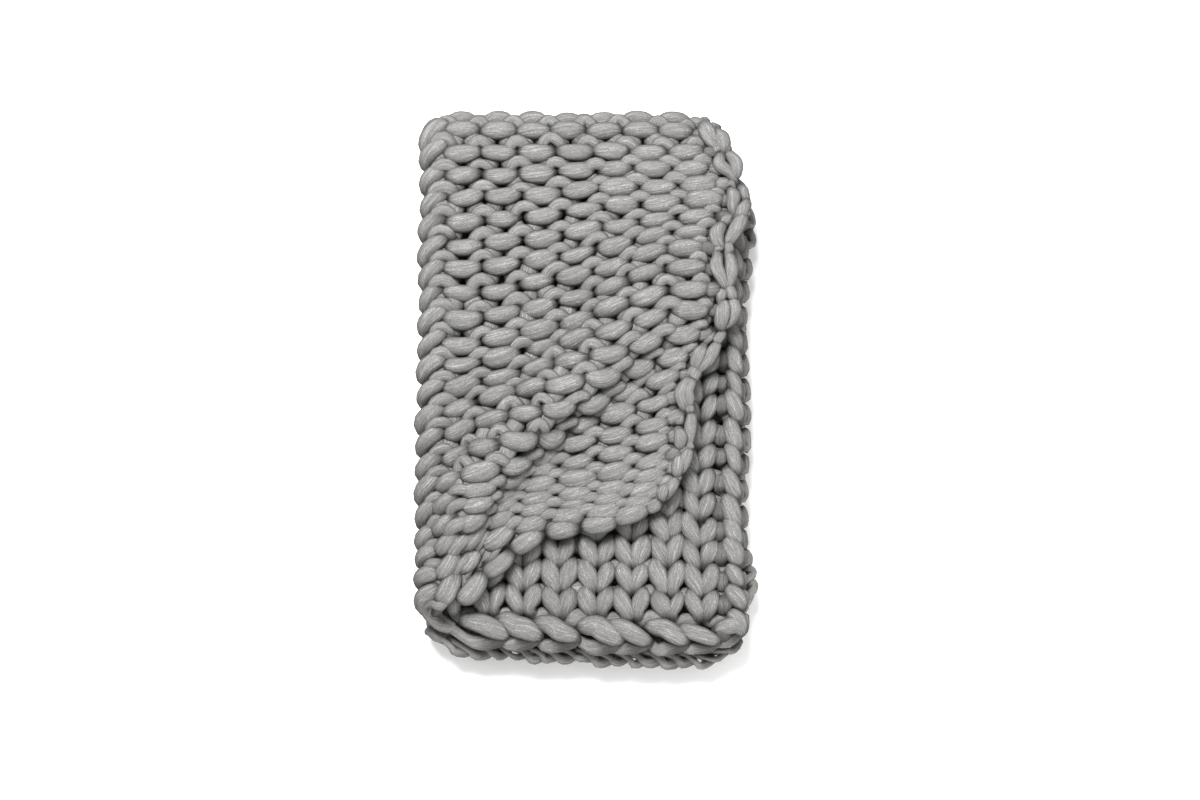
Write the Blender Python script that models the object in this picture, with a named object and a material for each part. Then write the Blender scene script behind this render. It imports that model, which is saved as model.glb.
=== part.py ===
"""Chunky knitted wool blanket, folded in four, as one closed solid.

Metres, +Z up, +Y away from the open near edge, +X to the selvedge side.
"""
import math

import bmesh
import bpy
import numpy as np

# Driving sizes of the knitted cloth
STITCH = 0.050          # width of one stitch
ROW = 0.0345            # height of one row
HALF = 0.0115           # half the thickness of the cloth between its relief
PLY = 0.030             # height from one layer to the next
TOP_STITCHES = 8.8      # stitches from the left fold to the edge of the top layer
LOW_STITCHES = 8.9      # stitches from the left fold to the edge of the layer below
NEAR_ROWS = 22.6        # rows from the far fold to the near edge, upper half
FAR_ROWS = 23.0         # rows from the far fold to the near edge, lower half
FOLD_ROWS = 2.1         # rows taken up by a quarter turn of the far fold
FOLD_X = -0.2035        # where the left fold starts to turn
FOLD_Y = 0.341          # where the far fold starts to turn
FOLD_GATHER = 0.07      # share by which the stitches draw together round the far fold

# Rounding of the corners: where it starts in x, and how fast it grows
FAR_RIGHT = (0.10, 1.6)
FAR_LEFT = (-0.205, 6.0)
NEAR_LEFT = (-0.17, 8.5)
NEAR_RIGHT_UPPER = (0.14, 7.0)
NEAR_RIGHT_LOWER = (0.14, 11.0)

# The open side edge swings out in places: row, reach in rows, size
SWINGS = (
    (-20.4, 1.8, 0.012),
    (-4.4, 2.4, 0.018),
    (4.6, 2.0, 0.012),
)
LOW_SLACK = 0.006       # how far the lower half sticks out at the side edge
EDGE_PULL = (0.05, 0.18)            # the side edge's swings: where they start in x, and fade length
NEAR_PULL = (17.0, 5.0)             # the near corners' rounding: where it starts in rows, and fade
SIDE_WAVE = (0.003, 0.55, 2.0)      # small wave of the side edges: size, rate by row, start
NEAR_WAVE = (0.005, 9.0, 0.5)       # small wave of the near edges: size, rate by x, start
LOW_WAVE = (0.004, 5.0, 1.0)        # a broader wave of the lower half's near edges

# Relief of the stitches
LUMP = 0.0050           # height of a purl bump over the cloth
PURL_SHAPE = (0.45, 0.55, 0.62)     # its share across, the cap of that, and its share along
LEG = 0.0040            # height of a plain stitch's leg over the cloth
LEG_SHAPE = (0.8, 0.45)             # share of the two ribs, and of the notch at the V's point
BEAD = 0.0035           # extra half thickness of the cast-on edge
BEAD_ROWS = 0.9         # how far in from the edge it reaches

# The drawn-up top layer is laid out in plan units, seen from a little in front
UNIT = 0.0014           # one plan unit
PLAN_X = 588.0          # plan x of the middle
PLAN_Y = 388.0          # plan y of the middle, growing towards the near edge
LEAN = 0.231            # how far a height moves a point up the plan
LEAN_Z = 0.070          # height that the plan is drawn for
SQUASH = 0.974          # plan length of a true length in y

# Rows of the top layer: row, plan y at x 475, 540, 610 and 660, then the free edge's x and y
TOP_ROWS = (
    (2.4, 152, 152, 152, 152, 735, 149),
    (5.4, 222, 216, 207, 203, 753, 200),
    (8.4, 294, 284, 268, 253, 735, 250),
    (10.4, 345, 331, 313, 296, 737, 290),
    (11.4, 363, 350, 335, 314, 738, 312),
    (13.4, 404, 392, 374, 360, 719, 350),
    (15.4, 452, 436, 415, 402, 697, 387),
    (16.4, 475, 455, 438, 424, 695, 408),
    (18.4, 502, 485, 474, 460, 696, 444),
    (19.4, 514, 499, 488, 473, 692, 458),
    (20.4, 530, 510, 500, 485, 685, 470),
    (21.4, 553, 521, 511, 497, 678, 482),
    (22.6, 590, 538, 522, 508, 671, 494),
)
PLAN_STOPS = (475.0, 540.0, 610.0, 660.0)
SHORT_ROW = 680.0       # a row whose edge lies short of this plan x
SHORT_STOP = 650.0      # has its last stop here
PATH_STEPS = 150        # points that trace one row over the ridge
FOLD_STEPS = 9          # points that trace its part in the left fold
FADE_STEPS = 12.0       # points over which the row leaves the fold

# Crest of the soft ridge: plan x, plan y, height in mm, width behind it, width before it
RIDGE = (
    (424, 592, 4, 14, 16),
    (440, 552, 22, 13, 17),
    (455, 517, 38, 13, 20),
    (470, 490, 47, 14, 21),
    (487, 465, 51, 15, 21),
    (512, 442, 51, 16, 20),
    (542, 415, 50, 17, 19),
    (572, 388, 47, 18, 19),
    (604, 356, 43, 22, 22),
    (640, 324, 37, 29, 28),
    (676, 300, 30, 34, 31),
    (722, 280, 20, 34, 30),
)

# Broad swells and hollows of the top layer: plan x, plan y, height in mm, reach
SWELLS = (
    (688, 268, 9, 42),
    (560, 200, 3, 60),
    (470, 330, 3, 45),
    (640, 410, -3, 30),
    (600, 455, 3, 30),
    (470, 420, -3, 26),
    (640, 160, 3, 50),
)

# Where the stitches of the relief lie
PURL_PITCH = 1.06       # distance between purl bumps, in stitches
PURL_ROW = 0.45         # row place of the purl bumps
PLAIN_PLACE = 0.8       # stitch place of the V's middles

COLOUR = (0.42, 0.41, 0.40, 1.0)


def clear_scene():
    for item in list(bpy.data.objects):
        bpy.data.objects.remove(item, do_unlink=True)


def smooth(value):
    value = min(1.0, max(0.0, value))
    return value * value * (3.0 - 2.0 * value)


def curve_value(xs, ys, at):
    """Smooth curve through the points, its value at one place."""
    count = len(xs)
    if at <= xs[0]:
        return ys[0] + (at - xs[0]) * (ys[1] - ys[0]) / (xs[1] - xs[0])
    if at >= xs[-1]:
        return ys[-1] + (at - xs[-1]) * (ys[-1] - ys[-2]) / (xs[-1] - xs[-2])
    index = int(np.searchsorted(xs, at)) - 1
    index = min(max(index, 0), count - 2)

    def slope(k):
        low = max(k - 1, 0)
        high = min(k + 1, count - 1)
        return (ys[high] - ys[low]) / (xs[high] - xs[low])

    span = xs[index + 1] - xs[index]
    part = (at - xs[index]) / span
    p2 = part * part
    p3 = p2 * part
    return (
        (2 * p3 - 3 * p2 + 1) * ys[index]
        + (p3 - 2 * p2 + part) * span * slope(index)
        + (3 * p2 - 2 * p3) * ys[index + 1]
        + (p3 - p2) * span * slope(index + 1)
    )


def ridge_height(px, py):
    """Height of the ridge at a plan point, from the nearest place on its crest."""
    best = None
    for first, second in zip(RIDGE[:-1], RIDGE[1:]):
        ax, ay = first[0], first[1]
        dx, dy = second[0] - ax, second[1] - ay
        part = ((px - ax) * dx + (py - ay) * dy) / (dx * dx + dy * dy)
        part = min(1.0, max(0.0, part))
        ox, oy = px - ax - part * dx, py - ay - part * dy
        away = math.hypot(ox, oy)
        if best is None or away < best[0]:
            side = ox * dy - oy * dx
            values = [first[k] + part * (second[k] - first[k]) for k in (2, 3, 4)]
            best = (away, side, values)
    away, side, (height, behind, before) = best
    reach = behind if side > 0.0 else before
    return 0.001 * height * math.exp(-((away / reach) ** 2))


def top_height(px, py):
    """Height of the middle of the top layer at a plan point."""
    height = HALF + 3.0 * PLY + ridge_height(px, py)
    for sx, sy, rise, reach in SWELLS:
        far = ((px - sx) ** 2 + (py - sy) ** 2) / (reach * reach)
        height += 0.001 * rise * math.exp(-far)
    return height


def row_turn(row):
    """Length along the cloth from the far fold for a row number."""
    quarter = 0.5 * math.pi * PLY
    size = abs(row)
    if size < FOLD_ROWS:
        return row * quarter / FOLD_ROWS
    return math.copysign(quarter + (size - FOLD_ROWS) * ROW, row)


def rounding(x, corner):
    """How far a corner is drawn in at x."""
    start, growth = corner
    away = max(0.0, x - start) if start > 0.0 else max(0.0, start - x)
    return growth * away * away


def wave(shape, at):
    size, rate, start = shape
    return size * math.sin(rate * at + start)


def left_fold(stitch, row):
    """Place across the folded blanket, and height from the middle of its fold."""
    turn = 0.5 * PLY
    length = stitch * STITCH
    quarter = 0.5 * math.pi * turn
    if abs(length) < quarter:
        angle = length / turn
        return FOLD_X - turn * math.cos(angle), turn * math.sin(angle)
    gather = 1.0 - FOLD_GATHER * math.exp(-((row / 3.0) ** 2))
    return FOLD_X + (abs(length) - quarter) * gather, math.copysign(turn, length)


def far_fold(x, lift, row):
    """Place along the blanket and height, round the far fold."""
    along = row_turn(row)
    bend = 0.5 * math.pi * PLY
    back = FOLD_Y - rounding(x, FAR_RIGHT) - rounding(x, FAR_LEFT)
    angle = min(max(along / PLY, -0.5 * math.pi), 0.5 * math.pi)
    y = back + (PLY + lift) * math.cos(angle) - max(0.0, abs(along) - bend)
    z = 2.0 * PLY + (PLY + lift) * math.sin(angle)
    return y, z


def plain_point(stitch, row):
    """Middle of the cloth folded in four, before the top layer is drawn up."""
    x, lift = left_fold(stitch, row)
    y, z = far_fold(x, lift, row)
    edge = smooth((x - EDGE_PULL[0]) / EDGE_PULL[1])
    near = smooth((abs(row) - NEAR_PULL[0]) / NEAR_PULL[1])
    y += near * rounding(x, NEAR_RIGHT_LOWER if row < 0 else NEAR_RIGHT_UPPER)
    x += edge * LOW_SLACK * smooth(-row / 2.0)
    x += edge * wave(SIDE_WAVE, row)
    for middle, reach, size in SWINGS:
        x += edge * size * math.exp(-(((row - middle) / reach) ** 2))
    y += near * (rounding(x, NEAR_LEFT) - wave(NEAR_WAVE, x))
    y -= wave(LOW_WAVE, x) * smooth(-row / 20.0)
    return np.array((x, y, z - 0.5 * PLY + HALF))


def to_space(px, py, z):
    """Plan units and a height to a point in space."""
    x = (px - PLAN_X) * UNIT
    y = ((PLAN_Y - py) * UNIT - (z - LEAN_Z) * LEAN) / SQUASH
    return np.array((x, y, z))


def top_row(entry, count):
    """One row of the top layer, as evenly spaced stitches over its ridge."""
    row, y1, y2, y3, y4, edge_x, edge_y = entry
    turn = 0.5 * PLY
    start = plain_point(0.5 * math.pi * turn / STITCH, row)
    start_px = start[0] / UNIT + PLAN_X
    start_py = PLAN_Y - (start[1] * SQUASH + (start[2] - LEAN_Z) * LEAN) / UNIT
    xs = [start_px, *PLAN_STOPS, edge_x]
    ys = [start_py, y1, y2, y3, y4, edge_y]
    if edge_x < SHORT_ROW:
        xs[4] = SHORT_STOP
    path = []
    for k in range(FOLD_STEPS):
        angle = 0.5 * math.pi * k / FOLD_STEPS
        path.append(plain_point(angle * turn / STITCH, row))
    base = to_space(start_px, start_py, top_height(start_px, start_py))
    for k in range(PATH_STEPS + 1):
        px = start_px + (edge_x - start_px) * k / PATH_STEPS
        py = curve_value(xs, ys, px)
        point = to_space(px, py, top_height(px, py))
        fade = smooth(1.0 - k / FADE_STEPS)
        point = point + fade * (start - base)
        path.append(point)
    path = np.array(path)
    length = np.concatenate(([0.0], np.cumsum(np.linalg.norm(np.diff(path, axis=0), axis=1))))
    wanted = np.linspace(0.0, length[-1], count)
    return np.stack([np.interp(wanted, length, path[:, k]) for k in range(3)], axis=1)


class Cloth:
    """The folded cloth's middle surface, by stitch and row."""

    def __init__(self):
        self.count = 89
        rows = [0.0, 0.7, 1.4]
        lines = []
        for row in rows:
            places = np.linspace(0.0, TOP_STITCHES, self.count)
            lines.append(np.array([plain_point(stitch, row) for stitch in places]))
        for entry in TOP_ROWS:
            rows.append(entry[0])
            lines.append(top_row(entry, self.count))
        self.rows = np.array(rows)
        self.lines = np.array(lines)

    def slopes(self, index):
        low = max(index - 1, 0)
        high = min(index + 1, len(self.rows) - 1)
        return (self.lines[high] - self.lines[low]) / (self.rows[high] - self.rows[low])

    def top_line(self, row):
        """All the stitches of the top layer at one row number."""
        index = int(np.searchsorted(self.rows, row)) - 1
        index = min(max(index, 0), len(self.rows) - 2)
        span = self.rows[index + 1] - self.rows[index]
        part = (row - self.rows[index]) / span
        p2 = part * part
        p3 = p2 * part
        return (
            (2 * p3 - 3 * p2 + 1) * self.lines[index]
            + (p3 - 2 * p2 + part) * span * self.slopes(index)
            + (3 * p2 - 2 * p3) * self.lines[index + 1]
            + (p3 - p2) * span * self.slopes(index + 1)
        )

    def point(self, stitch, row):
        if stitch <= 0.0 or row <= 0.0:
            return plain_point(stitch, row)
        line = self.top_line(row)
        place = stitch / TOP_STITCHES * (self.count - 1)
        low = int(min(max(math.floor(place), 0), self.count - 2))
        part = place - low
        return line[low] * (1.0 - part) + line[low + 1] * part

    def normal(self, stitch, row):
        """Direction of the purl side."""
        step_s, step_r = 0.12, 0.16
        across = self.point(stitch + step_s, row) - self.point(stitch - step_s, row)
        along = self.point(stitch, row + step_r) - self.point(stitch, row - step_r)
        normal = np.cross(along, across)
        return normal / np.linalg.norm(normal)


def purl_relief(stitch, row):
    """Bumps of the purl side, one a stitch, in rows."""
    share_across, cap, share_along = PURL_SHAPE
    across = min(math.cos(2.0 * math.pi * stitch / PURL_PITCH), cap)
    along = math.cos(2.0 * math.pi * (row - PURL_ROW))
    return LUMP * (share_across * across + share_along * along)


def plain_relief(stitch, row):
    """Legs of the plain side: two ribs a stitch, leaning towards its middle."""
    place = stitch + PLAIN_PLACE
    ribs = -math.cos(4.0 * math.pi * place)
    notch = math.cos(2.0 * math.pi * row) * math.cos(2.0 * math.pi * place)
    return LEG * (LEG_SHAPE[0] * ribs + LEG_SHAPE[1] * notch)


def edge_bead(stitch, row):
    """Extra half thickness along the cast-on and cast-off edges."""
    away = NEAR_ROWS - row if row > 0 else FAR_ROWS + row
    bead = BEAD * max(0.0, 1.0 - (away / BEAD_ROWS) ** 2)
    return bead * (0.75 + 0.4 * math.cos(2.0 * math.pi * stitch))


def edge_taper(stitch, row):
    """Share of the thickness kept towards the free edges, so that they are soft."""
    side = (TOP_STITCHES - stitch) if stitch > 0 else (LOW_STITCHES + stitch)
    end = (NEAR_ROWS - row) if row > 0 else (FAR_ROWS + row)
    return 0.5 + 0.5 * smooth(side / 0.28) * smooth(end / 0.4)


def bare_band(stitch, row):
    """How far the layer under the top one shows at this place, 0 to 1."""
    if row < 0 or stitch > 0:
        return 0.0
    near = smooth((row - 18.6) / 0.8)
    side = smooth((-stitch - 8.05) / 0.5) * smooth((row - 13.4) / 1.0)
    return max(near, side)


def purl_face(cloth, stitch, row):
    point = cloth.point(stitch, row)
    normal = cloth.normal(stitch, row)
    offset = HALF * edge_taper(stitch, row)
    if row > 0 and stitch > -0.4:
        fade = smooth(row / 1.0) * smooth((stitch + 0.4) / 0.5)
        offset += fade * edge_taper(stitch, row) * purl_relief(stitch, row)
        offset += edge_bead(stitch, row) if stitch > 1.0 else 0.0
    point = point + normal * offset
    if row < -FOLD_ROWS and stitch > 0:
        point[2] = max(point[2], 0.0)
    return point


def plain_face(cloth, stitch, row):
    point = cloth.point(stitch, row)
    normal = cloth.normal(stitch, row)
    show = bare_band(stitch, row)
    if stitch > 0 and row > 0:
        # the cloth is squeezed inside the bend at the near left corner
        squeeze = smooth((row - 14.5) / 2.0) * smooth((4.5 - stitch) / 2.0)
        normal = normal * (1.0 - 0.45 * squeeze)
    offset = edge_taper(stitch, row) * (HALF + show * plain_relief(stitch, row))
    offset += show * edge_bead(stitch, row)
    return point - normal * offset


def stations():
    """Grid lines of the two faces: stitches and rows, close only where stitches show."""
    left_fold = [-0.46, -0.23, 0.0, 0.23]
    close_top = [0.5 + 0.25 * k for k in range(33)] + [TOP_STITCHES]
    loose_top = [0.5 + 0.5 * k for k in range(17)] + [TOP_STITCHES]
    close_low = [-LOW_STITCHES] + [-8.5 + 0.25 * k for k in range(32)]
    loose_low = [-LOW_STITCHES, -8.6] + [-8.0 + 1.0 * k for k in range(8)]
    far_fold = [-2.1, -1.4, -0.7, 0.0, 0.5]
    far_half = [-FAR_ROWS, -22.6] + [-20.0 + 2.5 * k for k in range(7)] + [-3.4]
    close_rows = [1.0 + 0.5 * k for k in range(44)] + [NEAR_ROWS]
    loose_rows = [1.0 + 1.0 * k for k in range(13)]
    loose_rows += [13.5 + 0.5 * k for k in range(19)] + [NEAR_ROWS]
    purl = (loose_low + left_fold + close_top, far_half + far_fold + close_rows)
    plain = (close_low + left_fold + loose_top, far_half + far_fold + loose_rows)
    return purl, plain


def add_grid(bm, face, cloth, lines, flip):
    stitches, rows = lines
    grid = []
    for stitch in stitches:
        grid.append([bm.verts.new(face(cloth, stitch, row)) for row in rows])
    for i in range(len(stitches) - 1):
        for j in range(len(rows) - 1):
            quad = [grid[i][j], grid[i + 1][j], grid[i + 1][j + 1], grid[i][j + 1]]
            if flip:
                quad.reverse()
            # the shorter diagonal keeps the folded faces smooth
            if (quad[0].co - quad[2].co).length <= (quad[1].co - quad[3].co).length:
                bm.faces.new((quad[0], quad[1], quad[2]))
                bm.faces.new((quad[0], quad[2], quad[3]))
            else:
                bm.faces.new((quad[0], quad[1], quad[3]))
                bm.faces.new((quad[1], quad[2], quad[3]))
    return grid


def rim_loop(grid, lines):
    """Boundary of a grid as (place, corner number, vertex), one way round."""
    stitches, rows = lines
    last_i, last_j = len(stitches) - 1, len(rows) - 1
    loop = []
    for i in range(last_i):
        loop.append((stitches[i], 0, grid[i][0]))
    for j in range(last_j):
        loop.append((rows[j], 1, grid[last_i][j]))
    for i in range(last_i, 0, -1):
        loop.append((-stitches[i], 2, grid[i][last_j]))
    for j in range(last_j, 0, -1):
        loop.append((-rows[j], 3, grid[0][j]))
    return loop


def join_rims(bm, first, second):
    """Zip two boundary loops that have their own spacing with a strip of triangles."""
    a, b = 0, 0
    count_a, count_b = len(first), len(second)

    def key(loop, index):
        wraps, place = divmod(index, len(loop))
        item = loop[place]
        return (wraps, item[1], item[0])

    while a < count_a or b < count_b:
        vert_a = first[a % count_a][2]
        vert_b = second[b % count_b][2]
        take_a = b >= count_b or (a < count_a and key(first, a + 1) <= key(second, b + 1))
        if take_a:
            bm.faces.new((first[(a + 1) % count_a][2], vert_a, vert_b))
            a += 1
        else:
            bm.faces.new((second[(b + 1) % count_b][2], vert_a, vert_b))
            b += 1


def build_blanket():
    cloth = Cloth()
    purl_lines, plain_lines = stations()
    bm = bmesh.new()
    outer = add_grid(bm, purl_face, cloth, purl_lines, False)
    inner = add_grid(bm, plain_face, cloth, plain_lines, True)
    join_rims(bm, rim_loop(outer, purl_lines), rim_loop(inner, plain_lines))
    bm.normal_update()
    if bm.calc_volume(signed=True) < 0.0:
        bmesh.ops.reverse_faces(bm, faces=bm.faces[:])
    xs = [v.co.x for v in bm.verts]
    ys = [v.co.y for v in bm.verts]
    shift_x = -0.5 * (min(xs) + max(xs))
    shift_y = -0.5 * (min(ys) + max(ys))
    for vert in bm.verts:
        vert.co.x += shift_x
        vert.co.y += shift_y
    mesh = bpy.data.meshes.new("blanket")
    bm.to_mesh(mesh)
    bm.free()
    item = bpy.data.objects.new("blanket", mesh)
    bpy.context.collection.objects.link(item)
    mesh.materials.append(wool_material())
    return item


def wool_material():
    wool = bpy.data.materials.new("grey_wool")
    wool.use_nodes = True
    shader = wool.node_tree.nodes["Principled BSDF"]
    shader.inputs["Base Color"].default_value = COLOUR
    shader.inputs["Roughness"].default_value = 0.95
    return wool


clear_scene()
build_blanket()
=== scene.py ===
"""Looks of the folded chunky-knit blanket: real loops of roving, laid on the folded cloth.

Run as a script. It is laid out as an add-on, with one operator for each group of pieces.
"""
import math

import bpy
import numpy as np
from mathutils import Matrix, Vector


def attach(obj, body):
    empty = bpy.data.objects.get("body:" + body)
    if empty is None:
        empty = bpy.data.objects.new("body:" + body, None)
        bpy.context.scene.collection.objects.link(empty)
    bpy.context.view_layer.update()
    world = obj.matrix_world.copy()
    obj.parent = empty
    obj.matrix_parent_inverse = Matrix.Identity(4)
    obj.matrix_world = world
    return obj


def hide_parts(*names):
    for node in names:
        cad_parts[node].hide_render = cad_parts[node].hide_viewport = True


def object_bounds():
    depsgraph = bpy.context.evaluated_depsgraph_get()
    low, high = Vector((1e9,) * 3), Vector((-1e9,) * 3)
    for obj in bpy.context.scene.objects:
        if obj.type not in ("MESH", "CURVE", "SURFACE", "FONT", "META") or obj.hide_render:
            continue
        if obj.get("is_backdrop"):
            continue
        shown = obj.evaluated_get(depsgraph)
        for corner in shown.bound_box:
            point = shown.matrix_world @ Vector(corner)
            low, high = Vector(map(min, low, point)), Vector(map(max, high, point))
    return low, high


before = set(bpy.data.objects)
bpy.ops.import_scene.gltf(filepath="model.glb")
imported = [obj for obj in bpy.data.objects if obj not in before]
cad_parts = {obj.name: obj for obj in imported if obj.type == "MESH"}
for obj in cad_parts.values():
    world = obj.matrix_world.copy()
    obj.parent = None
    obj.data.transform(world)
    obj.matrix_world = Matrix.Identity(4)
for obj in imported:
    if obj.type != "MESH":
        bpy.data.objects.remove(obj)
CAD_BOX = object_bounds()

bl_info = {
    "name": "Chunky knit blanket",
    "version": (1, 0, 0),
    "blender": (4, 5, 0),
    "location": "View3D > Sidebar > Blanket",
    "description": "Knits and folds a blanket of giant wool roving",
    "category": "Object",
}

# Folded cloth, the same sizes as the solids: a stitch, a row, half a thickness, a layer
STITCH = 0.050
ROW = 0.0345
HALF = 0.0115
PLY = 0.030

# Stitches from the left fold to the free edge, and rows from the far fold to each near edge
TOP_STITCHES = 8.8
NEAR_ROWS = 22.6
FAR_ROWS = 23.0

# The two folds: rows that go round the far one, its place, the left one's place, and how much
# the rows draw in near the far fold
FOLD_ROWS = 2.1
FOLD_X = -0.2035
FOLD_Y = 0.341
FOLD_GATHER = 0.07
GATHER_ROWS = 3.0

# Middle of the folded cloth's box, which the solids are moved by as well
CENTRE_X = 0.001432
CENTRE_Y = 0.002876

# Rounding of the corners: where it starts in x, and how fast it grows
FAR_RIGHT = (0.10, 1.6)
FAR_LEFT = (-0.205, 6.0)
NEAR_LEFT = (-0.17, 8.5)
NEAR_RIGHT_UPPER = (0.14, 7.0)
NEAR_RIGHT_LOWER = (0.14, 11.0)

# The open side edge swings out in places: row, reach in rows, size
SWINGS = (
    (-20.4, 1.8, 0.012),
    (-4.4, 2.4, 0.018),
    (4.6, 2.0, 0.012),
)

# The lower half reaches out a little more
LOW_SLACK = 0.006

# Slow waves of the edges: size, turns, start
SIDE_WAVE = (0.003, 0.55, 2.0)
NEAR_WAVE = (0.005, 9.0, 0.5)
LOW_WAVE = (0.004, 5.0, 1.0)

# Where the free side edge and the near edges begin, and over what reach
SIDE_BAND = (0.05, 0.18)
NEAR_BAND = (17.0, 5.0)
LOW_BAND = 20.0

# Plan that the top layer is laid out in, in the photograph's pixels: metres to a pixel, the
# place of the pile's middle, and how height leans over, from which height, and depth shortens
UNIT = 0.0014
PLAN_X = 588.0
PLAN_Y = 388.0
LEAN = 0.231
LEAN_Z = 0.070
SQUASH = 0.974

# Rows of the top layer: row, plan y at x 475, 540, 610 and 660, then the free edge's x and y
TOP_ROWS = (
    (2.4, 152, 152, 152, 152, 735, 149),
    (5.4, 222, 216, 207, 203, 753, 200),
    (8.4, 294, 284, 268, 253, 735, 250),
    (10.4, 345, 331, 313, 296, 737, 290),
    (11.4, 363, 350, 335, 314, 738, 312),
    (13.4, 404, 392, 374, 360, 719, 350),
    (15.4, 452, 436, 415, 402, 697, 387),
    (16.4, 475, 455, 438, 424, 695, 408),
    (18.4, 502, 485, 474, 460, 696, 444),
    (19.4, 514, 499, 488, 473, 692, 458),
    (20.4, 530, 510, 500, 485, 685, 470),
    (21.4, 553, 521, 511, 497, 678, 482),
    (22.6, 590, 538, 522, 508, 671, 494),
)
PLAN_STOPS = (475.0, 540.0, 610.0, 660.0)

# A row that ends before the first of these has its last stop at the second
SHORT_ROW = 680.0
SHORT_STOP = 650.0

# Steps that a row of the top layer is measured in: round the fold, across, and eased in
ARC_STEPS = 9
CROSS_STEPS = 150
EASE_STEPS = 12.0

# Crest of the soft ridge: plan x, plan y, height in mm, width behind it, width before it
RIDGE = (
    (424, 592, 4, 14, 16),
    (440, 552, 22, 13, 17),
    (455, 517, 38, 13, 20),
    (470, 490, 47, 14, 21),
    (487, 465, 51, 15, 21),
    (512, 442, 51, 16, 20),
    (542, 415, 50, 17, 19),
    (572, 388, 47, 18, 19),
    (604, 356, 43, 22, 22),
    (640, 324, 37, 29, 28),
    (676, 300, 30, 34, 31),
    (722, 280, 20, 34, 30),
)

# The yarn rolls over the crest more roundly than the solid does
ROLL_WIDTH = 1.10
ROLL_POWER = 2.8
ROLL_HEIGHT = 0.94

# Broad swells and hollows of the top layer: plan x, plan y, height in mm, reach
SWELLS = (
    (688, 268, 9, 42),
    (560, 200, 3, 60),
    (470, 330, 3, 45),
    (640, 410, -3, 30),
    (600, 455, 3, 30),
    (470, 420, -3, 26),
    (640, 160, 3, 50),
)

# Rows of loops: points to a stitch, first and last loop, the row nearest the cast-off edge,
# how many there are, in how many pieces, and the loop that the short last row starts at
POINTS_A_STITCH = 30
FIRST_LOOP = -8.12
LAST_LOOP = 8.16
LAST_ROW = 20.73
ROW_COUNT = 43
ROW_GROUPS = 5
LAST_ROW_START = 1.27

# The yarn: usual radius, height over the middle below which it counts as diving, and its sides
YARN_RADIUS = 0.0112
# Yarn that lies lower than this over the middle takes painted shade in the wool
DIVE_HEIGHT = 0.0065
SIDES = 14

# Where loops lie: how they spread and shift over the upper and the lower half, and the loop
# past which they crowd at each side edge, with how much
UPPER_SPREAD = 1.07
UPPER_SHIFT = 0.05
LOWER_SHIFT = 0.27
LOWER_RETURN = 0.11
RIGHT_CROWD = (7.3, 0.58)
LEFT_CROWD = (8.0, 0.35)

# Near the side edges a row grows thin and dives: the loop where that starts, and its reach
RIGHT_THIN = (7.45, 0.15)
LEFT_THIN = (-7.7, 0.3)
END_DIVE = (8.03, 0.12)

# There it is narrower, lies lower or higher, and is thinner
RIGHT_NARROW = 0.50
END_DEPTH = 0.012
RIGHT_DEPTH = 0.003
LEFT_RISE = 0.006
RIGHT_SLIM = 0.20
LEFT_SLIM = 0.14

# At the left fold a row steps down by a bit more than one row a stitch
FOLD_LOOPS = 0.42
FOLD_DROP = 1.1
FOLD_SHIFT = 0.12

# Unevenness of a row: reach along the yarn in mm, and size in stitches, rows, metres or shares,
# with the mm to a stitch and to a row that the reach is measured with
MM_A_STITCH = 50
MM_A_ROW = 34
STITCH_WANDER = (60.0, 0.034)
ROW_WANDER = ((55.0, 0.050), (26.0, 0.022))
HEIGHT_WANDER = (50.0, 0.0012)
RADIUS_WANDER = ((36.0, 0.06), (110.0, 0.06))

# The yarn's turn from row to row: its place at the right and the left, height, and radius
TURN_PLACES = (8.40, -8.50)
TURN_HEIGHTS = (-0.006, 0.004)
TURN_RADIUS = 0.0085

# First seed; each operator that knits has its own
SEED = 7

# Table of the cloth: its stitches and rows, their steps, places along a row of the top layer,
# and the rows next to the far fold that lie as they were folded
TABLE_STITCHES = (-10.0, 10.001)
TABLE_ROWS = (-24.4, 24.001)
STEP_S = 0.05
STEP_R = 0.10
PLACES_A_ROW = 89
PLAIN_ROWS = (0.0, 0.7, 1.4)

# How often the normals and the ease are blurred, the height that the ease is measured at, the
# least share kept, and where it begins: stitch, reach, row, reach
NORMAL_BLUR = 8
EASE_BLUR = 6
EASE_HEIGHT = 0.010
LEAST_EASE = 0.45
EASE_BAND = (0.7, 0.6, 3.0, 1.5)


def smooth(value):
    """Eases from 0 to 1."""
    value = np.clip(value, 0.0, 1.0)
    return value * value * (3.0 - 2.0 * value)


def slopes_of(keys, values):
    """Slopes of a smooth curve through values at rising keys."""
    slopes = np.empty_like(values)
    gaps = (keys[2:] - keys[:-2]).reshape((-1,) + (1,) * (values.ndim - 1))
    slopes[1:-1] = (values[2:] - values[:-2]) / gaps
    slopes[0] = (values[1] - values[0]) / (keys[1] - keys[0])
    slopes[-1] = (values[-1] - values[-2]) / (keys[-1] - keys[-2])
    return slopes


def ease_through(values, slopes, index, span, part):
    """Values a part of the way from one key to the next."""
    p2 = part * part
    p3 = p2 * part
    return (
        (2 * p3 - 3 * p2 + 1) * values[index]
        + (p3 - 2 * p2 + part) * span * slopes[index]
        + (3 * p2 - 2 * p3) * values[index + 1]
        + (p3 - p2) * span * slopes[index + 1]
    )


def curve_values(xs, ys, at):
    """Smooth curve through the points, its values at an array of places."""
    xs = np.asarray(xs, float)
    ys = np.asarray(ys, float)
    index = np.clip(np.searchsorted(xs, at) - 1, 0, len(xs) - 2)
    span = xs[index + 1] - xs[index]
    return ease_through(ys, slopes_of(xs, ys), index, span, (at - xs[index]) / span)


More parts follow.
